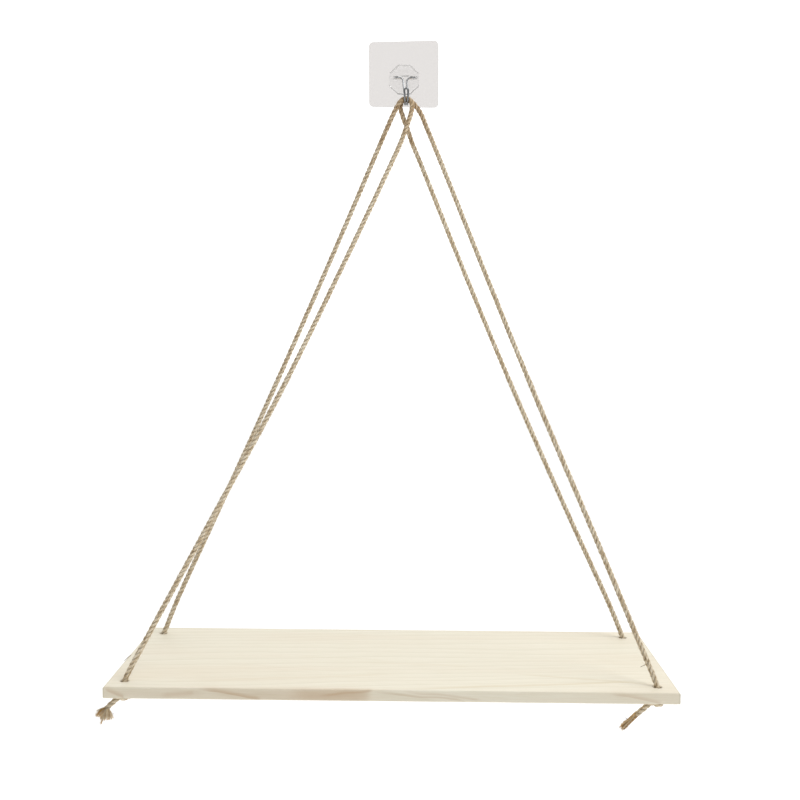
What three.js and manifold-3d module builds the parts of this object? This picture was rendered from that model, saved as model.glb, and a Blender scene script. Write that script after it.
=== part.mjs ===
// A rope wall shelf: a thin pine board hung by its corners from two jute ropes, which lie
// over a wire hook on a clear stick-on wall pad. Each rope runs from a knot under one hole,
// up over the hook, and back down to a knot under the hole at the other long edge.
//
// Millimetres. The origin is the middle of the pad's back face. +Z is up, +X runs to the
// right along the board, and +Y points into the wall, so the board reaches out along -Y.

import * as THREE from "three";
import { mergeVertices } from "three/addons/utils/BufferGeometryUtils.js";
import Module from "manifold-3d";

const wasm = await Module();
wasm.setup();

// Gap between pieces that touch.
const GAP = 0.3;

const BOARD = { length: 400, depth: 150, thick: 8, middleX: -4.5, topZ: -450, easedEdge: 0.6 };
const BOARD_UNDERSIDE = BOARD.topZ - BOARD.thick;

// Corner holes, drilled by hand: places from the board's middle (x) and its wall edge (y).
const HOLE = { radius: 3, sides: 16 };
const HOLES = {
  back_left: { x: -187.5, y: -16.5 },
  front_left: { x: -188.5, y: -135.5 },
  back_right: { x: 185, y: -15.5 },
  front_right: { x: 187, y: -136.5 },
};

// Three strands laid right-handed. The section has a ridge for each strand and a groove between.
const ROPE = { radius: 2, grooveRadius: 1.55, strands: 3, lay: 22, stepsPerTurn: 6 };

const PAD = { width: 55.5, height: 51.5, thick: 1, cornerRadius: 3.6, cornerSteps: 4, turnDegrees: 0.5 };

// Eight-sided clear plastic boss on the pad, with a slot in its face for the wire hook.
const BOSS = {
  width: 23.5, height: 22, middleX: 0.4, middleZ: -5, thick: 7,
  bevel: 1.2, flatSides: 8,
};
const BOSS_BACK = -PAD.thick - GAP;
const BOSS_FACE = BOSS_BACK - BOSS.thick;
const SLOT = { halfWidth: 3, middleX: 1.4, backY: -4, topZ: -2.5 };
const ARM_BORE = { radius: 1.1, sides: 10, halfLength: 9.3, y: -5.2, z: -3.8 };

// One piece of stainless wire, bent to a hairpin at the tip and turned out at its two ends.
const WIRE = { radius: 0.75, sides: 8, stepLength: 1.4 };

// Places along half of the wire: side is the distance from the hook's middle plane, and
// middle is where that plane lies, because the hook hangs a little askew.
const HOOK_HALF = [
  { side: 8.6, middle: 1.3, y: -5.2, z: -3.8 },
  { side: 5.5, middle: 1.3, y: -5.2, z: -3.8 },
  { side: 2.9, middle: 1.3, y: -5.2, z: -3.8 },
  { side: 1.8, middle: 1.35, y: -5.3, z: -4.7 },
  { side: 1.4, middle: 1.4, y: -5.6, z: -6.6 },
  { side: 1.35, middle: 1.5, y: -6.3, z: -9.5 },
  { side: 1.35, middle: 1.8, y: -8.2, z: -15.5 },
  { side: 1.35, middle: 2.0, y: -9.0, z: -20.2 },
  { side: 1.35, middle: 2.2, y: -10.8, z: -24.6 },
  { side: 1.35, middle: 2.3, y: -15.2, z: -26.45 },
  { side: 1.35, middle: 2.3, y: -19.6, z: -24.6 },
  { side: 1.35, middle: 2.3, y: -21.4, z: -20.2 },
  { side: 1.35, middle: 2.3, y: -21.9, z: -17.2 },
  { side: 1.15, middle: 2.3, y: -22.1, z: -16.3 },
  { side: 0.45, middle: 2.3, y: -22.2, z: -15.7 },
];

// Middle line of the left rope, from the back hole up over the hook and down to the front one.
const LEFT_ROUTE = [
  [-192.0, -16.5, -458.0],
  [-192.0, -16.5, -453.0],
  [-191.5, -16.5, -449.5],
  [-189.6, -16.5, -445.0],
  [-181.6, -16.6, -425.0],
  [-147.3, -16.7, -350.0],
  [-101.7, -16.9, -250.0],
  [-57.6, -17.1, -150.0],
  [-23.2, -17.4, -70.0],
  [-14.7, -17.5, -50.0],
  [-7.6, -17.6, -34.0],
  [-4.0, -17.6, -27.2],
  [-1.2, -17.6, -23.5],
  [2.3, -17.6, -22.3],
  [5.5, -17.7, -23.4],
  [6.9, -18.2, -27.0],
  [6.5, -19.6, -32.0],
  [4.9, -22.0, -38.5],
  [2.4, -24.2, -46.0],
  [-1.4, -27.2, -57.0],
  [-6.9, -30.7, -70.0],
  [-42.8, -52.8, -150.0],
  [-89.6, -80.3, -250.0],
  [-141.6, -107.9, -350.0],
  [-178.0, -127.4, -420.0],
  [-188.2, -132.9, -440.0],
  [-191.2, -134.5, -446.0],
  [-192.7, -135.3, -450.3],
  [-193.0, -135.5, -454.0],
  [-193.0, -135.5, -458.0],
];

// Middle line of the right rope, behind the left one on the hook.
const RIGHT_ROUTE = [
  [180.5, -15.5, -458.0],
  [180.5, -15.5, -453.0],
  [180.1, -15.5, -449.5],
  [178.5, -15.5, -445.0],
  [170.1, -15.3, -425.0],
  [134.9, -15.0, -350.0],
  [89.4, -14.6, -250.0],
  [46.4, -14.0, -150.0],
  [13.2, -13.4, -70.0],
  [7.2, -13.2, -56.0],
  [3.6, -13.1, -45.5],
  [1.2, -13.0, -39.5],
  [-0.9, -13.0, -33.5],
  [-2.3, -13.0, -28.0],
  [-1.2, -13.0, -24.0],
  [2.3, -13.0, -22.3],
  [6.2, -13.1, -23.6],
  [9.9, -14.2, -27.6],
  [14.1, -16.2, -34.0],
  [18.1, -19.1, -44.0],
  [28.6, -26.7, -70.0],
  [59.9, -49.8, -150.0],
  [99.9, -78.7, -250.0],
  [141.7, -107.6, -350.0],
  [170.4, -127.7, -420.0],
  [179.4, -134.3, -442.0],
  [181.3, -135.7, -447.0],
  [182.3, -136.3, -450.5],
  [182.5, -136.5, -454.0],
  [182.5, -136.5, -458.0],
];

// Overhand knots, drawn tight under the board. The rope's turns show on the outside as rounded
// bands: tilt is the angle of a turn's plane from the level, and towards is the way it tips.
const KNOT = { turnRadius: 2.6, strandRadius: 1.75, coreRadius: 3.1, flattened: 0.72, ridge: 0.14 };
const KNOT_TURNS = [
  { tilt: 16, towards: 0 },
  { tilt: 68, towards: 35 },
  { tilt: 74, towards: 120 },
];
const KNOT_SIDES = 18;
const KNOT_RINGS = 12;
const KNOT_HALF_HEIGHT = KNOT.flattened * (KNOT.turnRadius + KNOT.strandRadius);

// Tails, as places from the knot's middle, and how each frayed end spreads.
// facing turns the knot about the hole, and lean is the way the frayed strands point.
const TAILS = {
  front_left: {
    facing: 180, strands: 12, spread: 4.6, strandLength: 8, lean: [-0.45, -0.3, -0.85],
    route: [[-1.5, 0, 0], [-4.4, -0.4, -0.8], [-7.0, -1.6, -2.7], [-9.8, -3.0, -5.2], [-11.4, -4.0, -7.2]],
  },
  front_right: {
    facing: 200, strands: 8, spread: 0.9, strandLength: 12.5, lean: [-0.66, -0.08, -0.75],
    route: [[-1.5, 0, 0], [-5.0, 0.2, -1.4], [-9.2, -0.2, -4.4], [-13.5, -0.8, -7.9], [-17.2, -1.4, -11.0]],
  },
  back_left: {
    facing: 20, strands: 7, spread: 2.4, strandLength: 8, lean: [0.25, -0.1, -0.95],
    route: [[1.2, 0, -1], [2.8, 0.2, -3.0], [4.4, 0.4, -6.4], [5.6, 0.2, -10.0], [6.6, -0.1, -13.6]],
  },
  back_right: {
    facing: 160, strands: 7, spread: 2.2, strandLength: 8, lean: [-0.22, -0.1, -0.95],
    route: [[-1.2, 0, -1], [-2.6, -0.3, -3.0], [-4.0, -0.6, -6.4], [-5.2, -0.6, -10.0], [-6.0, -0.7, -13.2]],
  },
};

// A frayed strand is a thin three-sided taper that starts inside the tail.
// Each next one is turned further round the tail by turn, in radians, and the lengths repeat.
const FRAY = {
  rootRadius: 0.36, tipRadius: 0.16, rootReach: 1.2, rootDepth: 1.4, sides: 3, steps: 2,
  turn: 2.4, bendSpread: 0.33, lengths: [1, 0.88, 0.76],
};

const FULL_TURN = 2 * Math.PI;
const LENGTH_SAMPLES_PER_STEP = 10;
// Points closer than this are one point.
const SAME_PLACE = 1e-4;

const material = (color, roughness, metalness = 0) =>
  new THREE.MeshStandardMaterial({ color, roughness, metalness });
const pine = () => material(0xe6dabf, 0.62);
const jute = () => material(0xb59c74, 0.95);
const clearPvc = () => material(0xe4e2de, 0.25);
const clearPlastic = () => material(0xdadcdc, 0.12);
const stainless = () => material(0xb9bbbd, 0.22, 1);

function smoothCurve(route) {
  return new THREE.CatmullRomCurve3(route.map((place) => new THREE.Vector3(...place)));
}

// A closed solid along a route. It starts as a lathe of unit radius with a ring for each step,
// and every ring is then moved onto the route. radiusAt(step, side) gives each point's distance
// from the route, and turnPerStep twists the rings.
function alongRoute(route, steps, sides, turnPerStep, radiusAt) {
  const curve = smoothCurve(route);
  curve.arcLengthDivisions = LENGTH_SAMPLES_PER_STEP * steps;
  const frames = curve.computeFrenetFrames(steps, false);
  const profile = [new THREE.Vector2(0, 0)];
  for (let step = 0; step <= steps; step += 1) {
    profile.push(new THREE.Vector2(1, step));
  }
  profile.push(new THREE.Vector2(0, steps));
  const solid = new THREE.LatheGeometry(profile, sides);
  const places = solid.attributes.position;
  for (let i = 0; i < places.count; i += 1) {
    const step = Math.round(places.getY(i));
    const fromAxis = Math.round(Math.hypot(places.getX(i), places.getZ(i)));
    const angle = Math.atan2(places.getX(i), places.getZ(i));
    const side = Math.round((angle / FULL_TURN) * sides + sides) % sides;
    const radius = fromAxis * radiusAt(step, side);
    const turned = (side / sides) * FULL_TURN + step * turnPerStep;
    const place = curve.getPointAt(step / steps);
    place.addScaledVector(frames.normals[step], radius * Math.cos(turned));
    place.addScaledVector(frames.binormals[step], radius * Math.sin(turned));
    places.setXYZ(i, place.x, place.y, place.z);
  }
  return solid;
}

// A length of three-strand rope, with its twist in the points of each ring.
function laidRope(route) {
  const steps = Math.round((smoothCurve(route).getLength() / ROPE.lay) * ROPE.stepsPerTurn);
  const radiusAt = (step, side) => (side % 2 === 0 ? ROPE.radius : ROPE.grooveRadius);
  return alongRoute(route, steps, 2 * ROPE.strands, FULL_TURN / ROPE.stepsPerTurn, radiusAt);
}

// A solid that can be joined and cut. A lathe's triangles that end on its axis have no area
// and are left out.
function toSolid(geometry) {
  const bare = geometry.clone();
  bare.deleteAttribute("normal");
  bare.deleteAttribute("uv");
  const merged = mergeVertices(bare, SAME_PLACE);
  const corners = merged.index.array;
  const kept = [];
  for (let i = 0; i < corners.length; i += 3) {
    const [a, b, c] = corners.slice(i, i + 3);
    if (a !== b && b !== c && c !== a) {
      kept.push(a, b, c);
    }
  }
  return new wasm.Manifold(new wasm.Mesh({
    numProp: 3,
    vertProperties: Float32Array.from(merged.attributes.position.array),
    triVerts: Uint32Array.from(kept),
  }));
}

function toGeometry(solid) {
  const mesh = solid.getMesh();
  const geometry = new THREE.BufferGeometry();
  geometry.setAttribute("position", new THREE.Float32BufferAttribute(mesh.vertProperties, 3));
  geometry.setIndex(Array.from(mesh.triVerts));
  return geometry;
}

// One solid of all the given ones. Slivers that a join leaves beside it are dropped.
function joined(geometries) {
  const whole = geometries.map(toSolid).reduce((sum, solid) => sum.add(solid));
  const bodies = whole.decompose().sort((a, b) => b.volume() - a.volume());
  return toGeometry(bodies[0]);
}

function piece(name, geometry, finish) {
  const mesh = new THREE.Mesh(geometry, finish);
  mesh.name = name;
  return mesh;
}

// Sawn pine board with its edges eased and a hole near each corner.
function board() {
  const outline = new THREE.Shape([
    new THREE.Vector2(-BOARD.length / 2, -BOARD.depth),
    new THREE.Vector2(BOARD.length / 2, -BOARD.depth),
    new THREE.Vector2(BOARD.length / 2, 0),
    new THREE.Vector2(-BOARD.length / 2, 0),
  ]);
  for (const { x, y } of Object.values(HOLES)) {
    const rim = [];
    for (let i = 0; i < HOLE.sides; i += 1) {
      const angle = (-i / HOLE.sides) * FULL_TURN;
      rim.push(new THREE.Vector2(x + HOLE.radius * Math.cos(angle), y + HOLE.radius * Math.sin(angle)));
    }
    outline.holes.push(new THREE.Path(rim));
  }
  const geometry = new THREE.ExtrudeGeometry(outline, {
    depth: BOARD.thick - 2 * BOARD.easedEdge,
    bevelThickness: BOARD.easedEdge,
    bevelSize: BOARD.easedEdge,
    bevelOffset: -BOARD.easedEdge,
    bevelSegments: 1,
  });
  geometry.translate(BOARD.middleX, 0, BOARD_UNDERSIDE + BOARD.easedEdge);
  return piece("board", geometry, pine());
}

// Stands a flat shape's extrusion up against the wall, its back at the given y.
function againstWall(geometry, backY) {
  geometry.rotateX(Math.PI / 2);
  geometry.translate(0, backY, 0);
  return geometry;
}

function wallPad() {
  const w = PAD.width / 2;
  const h = PAD.height / 2;
  const r = PAD.cornerRadius;
  const outline = new THREE.Shape();
  outline.absarc(w - r, h - r, r, 0, Math.PI / 2);
  outline.absarc(-w + r, h - r, r, Math.PI / 2, Math.PI);
  outline.absarc(-w + r, -h + r, r, Math.PI, 1.5 * Math.PI);
  outline.absarc(w - r, -h + r, r, 1.5 * Math.PI, FULL_TURN);
  const geometry = new THREE.ExtrudeGeometry(outline, {
    depth: PAD.thick,
    bevelEnabled: false,
    curveSegments: PAD.cornerSteps,
  });
  geometry.rotateZ(THREE.MathUtils.degToRad(PAD.turnDegrees));
  return piece("wall_pad", againstWall(geometry, 0), clearPvc());
}

function hookBoss() {
  const outline = [];
  const cornerReach = 1 / Math.cos(Math.PI / BOSS.flatSides);
  for (let i = 0; i < BOSS.flatSides; i += 1) {
    const angle = ((i + 0.5) / BOSS.flatSides) * FULL_TURN;
    outline.push(new THREE.Vector2(
      BOSS.middleX + (BOSS.width / 2) * cornerReach * Math.cos(angle),
      BOSS.middleZ + (BOSS.height / 2) * cornerReach * Math.sin(angle),
    ));
  }
  const block = againstWall(new THREE.ExtrudeGeometry(new THREE.Shape(outline), {
    depth: BOSS.thick - BOSS.bevel,
    bevelThickness: BOSS.bevel,
    bevelSize: BOSS.bevel,
    bevelOffset: -BOSS.bevel,
    bevelSegments: 1,
  }), BOSS_BACK);
  // The bevel is only on the face, so the one at the back is cut off where the pad lies.
  const backBevel = new THREE.BoxGeometry(2 * BOSS.width, 2 * BOSS.bevel, 2 * BOSS.height);
  backBevel.translate(BOSS.middleX, BOSS_BACK + BOSS.bevel, BOSS.middleZ);
  // The slot is open at the face and at the lower edge.
  const slotDepth = SLOT.backY - BOSS_FACE + BOSS.thick;
  const slot = new THREE.BoxGeometry(2 * SLOT.halfWidth, slotDepth, BOSS.height);
  slot.translate(SLOT.middleX, SLOT.backY - slotDepth / 2, SLOT.topZ - BOSS.height / 2);
  const bore = new THREE.CylinderGeometry(
    ARM_BORE.radius, ARM_BORE.radius, 2 * ARM_BORE.halfLength, ARM_BORE.sides);
  bore.rotateZ(Math.PI / 2);
  bore.translate(HOOK_HALF[0].middle, ARM_BORE.y, ARM_BORE.z);
  const cuts = [backBevel, slot, bore].map(toSolid);
  const solid = cuts.reduce((rest, cut) => rest.subtract(cut), toSolid(block));
  return piece("hook_boss", toGeometry(solid), clearPlastic());
}

function wireHook() {
  const half = (sign) => HOOK_HALF.map(({ side, middle, y, z }) => [middle + sign * side, y, z]);
  const route = [...half(-1), ...half(1).reverse()];
  const steps = Math.round(smoothCurve(route).getLength() / WIRE.stepLength);
  return piece("wire_hook", alongRoute(route, steps, WIRE.sides, 0, () => WIRE.radius), stainless());
}

// How far the knot reaches in a direction: out to the nearest turn of rope, or to its core.
function knotReach(direction, facing) {
  let reach = KNOT.coreRadius;
  for (const { tilt, towards } of KNOT_TURNS) {
    const tipped = THREE.MathUtils.degToRad(tilt);
    const heading = THREE.MathUtils.degToRad(towards + facing);
    const normal = new THREE.Vector3(
      Math.sin(tipped) * Math.cos(heading), Math.sin(tipped) * Math.sin(heading), Math.cos(tipped));
    const offPlane = direction.dot(normal);
    const within = KNOT.strandRadius ** 2 - (KNOT.turnRadius * offPlane) ** 2;
    if (within > 0) {
      const level = Math.sqrt(1 - offPlane ** 2);
      reach = Math.max(reach, KNOT.turnRadius * level + Math.sqrt(within));
    }
  }
  return reach;
}

function knotBody(middle, facing) {
  const body = new THREE.SphereGeometry(1, KNOT_SIDES, KNOT_RINGS);
  body.rotateX(Math.PI / 2);
  const places = body.attributes.position;
  const ridgesRound = (FULL_TURN * KNOT.turnRadius * ROPE.strands) / ROPE.lay;
  for (let i = 0; i < places.count; i += 1) {
    const direction = new THREE.Vector3().fromBufferAttribute(places, i).normalize();
    const round = Math.atan2(direction.y, direction.x);
    const twist = Math.round(ridgesRound) * round + FULL_TURN * direction.z;
    const ridge = KNOT.ridge * Math.hypot(direction.x, direction.y) * Math.cos(twist);
    const place = direction.multiplyScalar(knotReach(direction, facing) + ridge);
    places.setXYZ(i, middle.x + place.x, middle.y + place.y, middle.z + KNOT.flattened * place.z);
  }
  return body;
}

// Frayed strands fan out from the tail's end, evenly spread by turning each one further round.
function frayedStrands(end, tail) {
  const lean = new THREE.Vector3(...tail.lean).normalize();
  const sideways = new THREE.Vector3(0, 1, 0).cross(lean).normalize();
  const forward = lean.clone().cross(sideways);
  const strands = [];
  for (let i = 0; i < tail.strands; i += 1) {
    const reach = Math.sqrt((i + 0.5) / tail.strands);
    const outward = sideways.clone().multiplyScalar(Math.cos(i * FRAY.turn));
    outward.addScaledVector(forward, Math.sin(i * FRAY.turn));
    const length = tail.strandLength * FRAY.lengths[i % FRAY.lengths.length];
    const root = end.clone().addScaledVector(lean, -FRAY.rootDepth);
    root.addScaledVector(outward, FRAY.rootReach * reach);
    const bend = end.clone().addScaledVector(lean, length / 2);
    bend.addScaledVector(outward, (FRAY.rootReach + FRAY.bendSpread * tail.spread) * reach);
    const tip = end.clone().addScaledVector(lean, length);
    tip.addScaledVector(outward, (FRAY.rootReach + tail.spread) * reach);
    const route = [root.toArray(), bend.toArray(), tip.toArray()];
    const radiusAt = (step) => THREE.MathUtils.lerp(FRAY.rootRadius, FRAY.tipRadius, step / FRAY.steps);
    strands.push(alongRoute(route, FRAY.steps, FRAY.sides, 0, radiusAt));
  }
  return strands;
}

// Knot, tail and frayed end under one hole, fused into one solid.
function knotWithTail(name, tail) {
  const hole = HOLES[name];
  const middle = new THREE.Vector3(
    BOARD.middleX + hole.x, hole.y, BOARD_UNDERSIDE - GAP - KNOT_HALF_HEIGHT);
  const route = tail.route.map(([x, y, z]) => [middle.x + x, middle.y + y, middle.z + z]);
  const end = new THREE.Vector3(...route[route.length - 1]);
  const parts = [
    knotBody(middle, tail.facing),
    laidRope(route),
    ...frayedStrands(end, tail),
  ];
  return piece(`knot_${name}`, joined(parts), jute());
}

const shelf = new THREE.Group();
shelf.add(board());
shelf.add(piece("rope_left", laidRope(LEFT_ROUTE), jute()));
shelf.add(piece("rope_right", laidRope(RIGHT_ROUTE), jute()));
for (const [name, tail] of Object.entries(TAILS)) {
  shelf.add(knotWithTail(name, tail));
}
shelf.add(wallPad());
shelf.add(hookBoss());
shelf.add(wireHook());

export default shelf;
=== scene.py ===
import math

import bmesh
import bpy
import numpy as np
from mathutils import Matrix, Vector
from mathutils.geometry import interpolate_bezier


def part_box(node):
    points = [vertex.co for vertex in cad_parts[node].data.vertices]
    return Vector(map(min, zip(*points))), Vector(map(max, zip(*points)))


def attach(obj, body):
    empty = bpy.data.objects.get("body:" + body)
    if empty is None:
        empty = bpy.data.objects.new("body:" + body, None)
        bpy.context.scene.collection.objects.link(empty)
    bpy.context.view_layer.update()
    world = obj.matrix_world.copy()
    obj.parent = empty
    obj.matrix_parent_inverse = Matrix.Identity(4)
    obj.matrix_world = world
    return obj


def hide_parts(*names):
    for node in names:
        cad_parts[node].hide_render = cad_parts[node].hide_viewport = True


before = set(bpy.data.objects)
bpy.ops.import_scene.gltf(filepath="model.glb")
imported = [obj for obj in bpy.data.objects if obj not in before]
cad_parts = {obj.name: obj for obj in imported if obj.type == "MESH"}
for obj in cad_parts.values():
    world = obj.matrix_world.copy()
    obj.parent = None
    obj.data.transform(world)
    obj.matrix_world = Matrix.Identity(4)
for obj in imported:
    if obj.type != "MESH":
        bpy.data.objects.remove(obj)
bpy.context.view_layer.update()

# Camera: it stands 0.9 m in front of the pad, below the height of the hook, and looks a
# little down, so that the top of the board shows.
CAMERA_PLACE = (0.0096, -0.9049, -0.1926)
CAMERA_DOWN = math.radians(4.243)
CAMERA_LEFT = math.radians(0.685)
CAMERA_ROLL = math.radians(0.388)
LENS_MM = 50.23
SENSOR_MM = 36.0

scene = bpy.context.scene
camera = bpy.data.objects.new("camera", bpy.data.cameras.new("camera"))
scene.collection.objects.link(camera)
camera.data.lens = LENS_MM
camera.data.sensor_width = SENSOR_MM
camera.matrix_world = (
    Matrix.Translation(CAMERA_PLACE)
    @ Matrix.Rotation(CAMERA_LEFT, 4, "Z")
    @ Matrix.Rotation(math.pi / 2 - CAMERA_DOWN, 4, "X")
    @ Matrix.Rotation(CAMERA_ROLL, 4, "Z")
)
scene.camera = camera

# Ropes: two lengths of 4 mm jute, three strands laid right-handed with a turn every 12 mm.
# Each comes up through a back hole, lies over the wire hook and goes down through the front
# hole on its own side. The board's weight holds all four legs straight.
ROPE_RADIUS = 0.0020
STRANDS = 3
LAY = 0.012
STRAND_RADIUS = 0.00105
YARNS = 4
YARN_LAY = 0.0065
YARN_RELIEF = 0.05
RING_STEP = 0.0008
STRAND_SIDES = 16
SAME_PLACE = 1e-7

LEFT_ROUTE = [
    (-0.1920, -0.0165, -0.4580),
    (-0.1920, -0.0165, -0.4530),
    (-0.1915, -0.0165, -0.4495),
    (-0.1896, -0.0165, -0.4450),
    (-0.1816, -0.0166, -0.4250),
    (-0.1473, -0.0167, -0.3500),
    (-0.1017, -0.0169, -0.2500),
    (-0.0576, -0.0171, -0.1500),
    (-0.0232, -0.0174, -0.0700),
    (-0.0147, -0.0175, -0.0500),
    (-0.0076, -0.0176, -0.0340),
    (-0.0040, -0.0176, -0.0272),
    (-0.0012, -0.0176, -0.0235),
    (0.0023, -0.0176, -0.0223),
    (0.0055, -0.0177, -0.0234),
    (0.0069, -0.0182, -0.0270),
    (0.0065, -0.0196, -0.0320),
    (0.0049, -0.0220, -0.0385),
    (0.0024, -0.0242, -0.0460),
    (-0.0014, -0.0272, -0.0570),
    (-0.0069, -0.0307, -0.0700),
    (-0.0428, -0.0528, -0.1500),
    (-0.0896, -0.0803, -0.2500),
    (-0.1416, -0.1079, -0.3500),
    (-0.1780, -0.1274, -0.4200),
    (-0.1882, -0.1329, -0.4400),
    (-0.1912, -0.1345, -0.4460),
    (-0.1927, -0.1353, -0.4503),
    (-0.1930, -0.1355, -0.4540),
    (-0.1930, -0.1355, -0.4580),
]
RIGHT_ROUTE = [
    (0.1805, -0.0155, -0.4580),
    (0.1805, -0.0155, -0.4530),
    (0.1801, -0.0155, -0.4495),
    (0.1785, -0.0155, -0.4450),
    (0.1701, -0.0153, -0.4250),
    (0.1349, -0.0150, -0.3500),
    (0.0894, -0.0146, -0.2500),
    (0.0464, -0.0140, -0.1500),
    (0.0132, -0.0134, -0.0700),
    (0.0072, -0.0132, -0.0560),
    (0.0036, -0.0131, -0.0455),
    (0.0012, -0.0130, -0.0395),
    (-0.0009, -0.0130, -0.0335),
    (-0.0023, -0.0130, -0.0280),
    (-0.0012, -0.0130, -0.0240),
    (0.0023, -0.0130, -0.0223),
    (0.0062, -0.0131, -0.0236),
    (0.0099, -0.0142, -0.0276),
    (0.0141, -0.0162, -0.0340),
    (0.0181, -0.0191, -0.0440),
    (0.0286, -0.0267, -0.0700),
    (0.0599, -0.0498, -0.1500),
    (0.0999, -0.0787, -0.2500),
    (0.1417, -0.1076, -0.3500),
    (0.1704, -0.1277, -0.4200),
    (0.1794, -0.1343, -0.4420),
    (0.1813, -0.1357, -0.4470),
    (0.1823, -0.1363, -0.4505),
    (0.1825, -0.1365, -0.4540),
    (0.1825, -0.1365, -0.4580),
]


def smooth_line(places, per_span=24):
    """A smooth line through given places."""
    points = [Vector(place) for place in places]
    points = [2 * points[0] - points[1], *points, 2 * points[-1] - points[-2]]
    line = []
    for before, start, end, after in zip(points, points[1:], points[2:], points[3:]):
        into, span, out = (
            math.sqrt((b - a).length) for a, b in ((before, start), (start, end), (end, after))
        )
        leave = (start - before) / into - (end - before) / (into + span) + (end - start) / span
        arrive = (end - start) / span - (after - start) / (span + out) + (after - end) / out
        handles = start + leave * span / 3, end - arrive * span / 3
        line += interpolate_bezier(start, handles[0], handles[1], end, per_span)[:-1]
    return np.array([*line, points[-2]])


def path_along(line, step):
    """Places a step apart along a line, and two directions across it that don't twist."""
    run = np.concatenate([[0], np.cumsum(np.linalg.norm(np.diff(line, axis=0), axis=1))])
    along = np.linspace(0, run[-1], round(run[-1] / step) + 1)
    place = np.stack([np.interp(along, run, line[:, axis]) for axis in range(3)], axis=1)
    ahead = np.gradient(place, axis=0)
    ahead /= np.linalg.norm(ahead, axis=1)[:, None]
    # No rope, tail or wire sets off in this direction.
    nearly_back = (0.0, 1.0, 0.2)
    side = np.cross(ahead[0], nearly_back)
    across = []
    for direction in ahead:
        side = side - direction * side.dot(direction)
        side /= np.linalg.norm(side)
        across.append(side)
    across = np.array(across)
    return {"along": along, "place": place, "across": across, "other": np.cross(ahead, across)}


def bent(straight, path):
    """Straight rope points, x and y across and z along, laid onto a path."""
    on_path = {
        key: np.stack(
            [np.interp(straight[:, 2], path["along"], path[key][:, axis]) for axis in range(3)],
            axis=1,
        )
        for key in ("place", "across", "other")
    }
    sideways = on_path["across"] * straight[:, :1] + on_path["other"] * straight[:, 1:2]
    return on_path["place"] + sideways


def tube(bm, rings, sides, point):
    """A closed tube: a flat grid rolled up, with its long edges merged and its ends drawn
    to a point. point(along, round) gives a place for shares along and round the tube."""
    flat = bmesh.ops.create_grid(bm, x_segments=rings, y_segments=sides, size=0.5)["verts"]
    for vertex in flat:
        vertex.co = point(vertex.co.x + 0.5, vertex.co.y + 0.5)
    bmesh.ops.remove_doubles(bm, verts=flat, dist=SAME_PLACE)


def strand_point(strand, length, along, around):
    """A point on one strand of a straight rope. Four yarns show as low ridges on a strand."""
    middle = ROPE_RADIUS - STRAND_RADIUS
    height = along * length
    turn = math.tau * (height / LAY + strand / STRANDS)
    outward = Vector((math.cos(turn), math.sin(turn), 0))
    climb = Vector((-math.sin(turn), math.cos(turn), LAY / (math.tau * middle))).normalized()
    section = math.tau * around
    ridge = math.cos(YARNS * (section + math.tau * height / YARN_LAY / YARNS))
    radius = STRAND_RADIUS * (1 + YARN_RELIEF * ridge) if 0 < along < 1 else 0.0
    across = outward * math.cos(section) + climb.cross(outward) * math.sin(section)
    return outward * middle + Vector((0, 0, height)) + across * radius


def keep(mesh, name, *materials):
    """Links a finished mesh as an object at the origin that rides with the shelf."""
    for polygon in mesh.polygons:
        polygon.use_smooth = True
    for material in materials:
        mesh.materials.append(material)
    piece = bpy.data.objects.new(name, mesh)
    scene.collection.objects.link(piece)
    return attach(piece, "root")


def coordinates(mesh):
    """The mesh's points, as an array with a row for each."""
    places = np.zeros(len(mesh.vertices) * 3)
    mesh.vertices.foreach_get("co", places)
    return places.reshape(-1, 3)


def laid_rope(name, path, material):
    """A length of three-strand rope. Its straight form stays on it as an attribute, so that
    the fibres' pattern follows the rope."""
    bm = bmesh.new()
    length = path["along"][-1]
    for strand in range(STRANDS):
        tube(
            bm,
            round(length / RING_STEP),
            STRAND_SIDES,
            lambda along, around, strand=strand: strand_point(strand, length, along, around),
        )
    bmesh.ops.recalc_face_normals(bm, faces=bm.faces)
    mesh = bpy.data.meshes.new(name)
    bm.to_mesh(mesh)
    bm.free()
    straight = coordinates(mesh)
    straight_form = mesh.attributes.new("straight", "FLOAT_VECTOR", "POINT")
    straight_form.data.foreach_set("vector", straight.ravel())
    mesh.vertices.foreach_set("co", bent(straight, path).ravel())
    return keep(mesh, name, material)


def linear(hex_colour):
    """An sRGB hex colour as linear red, green, blue and alpha."""
    shares = [int(hex_colour[i : i + 2], 16) / 255 for i in (1, 3, 5)]
    return [s / 12.92 if s <= 0.04045 else ((s + 0.055) / 1.055) ** 2.4 for s in shares] + [1.0]


def new_material(name):
    """A material with a Principled shader, as (material, node tree, shader)."""
    material = bpy.data.materials.new(name)
    material.use_nodes = True
    tree = material.node_tree
    return material, tree, tree.nodes["Principled BSDF"]


def add_node(tree, kind, settings=(), values=(), links=()):
    """Adds a node: settings are its own properties, values its sockets, links what feeds them."""
    node = tree.nodes.new(kind)
    for key, value in dict(settings).items():
        setattr(node, key, value)
    for socket, value in dict(values).items():
        node.inputs[socket].default_value = value
    for socket, source in dict(links).items():
        tree.links.new(source, node.inputs[socket])
    return node


def set_ramp(node, *stops):
    """Sets a ramp's colours, as (place, hex colour) pairs."""
    ramp = node.color_ramp
    while len(ramp.elements) < len(stops):
        ramp.elements.new(0.5)
    for element, (place, colour) in zip(ramp.elements, stops):
        element.position = place
        element.color = linear(colour)
    return node
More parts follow.
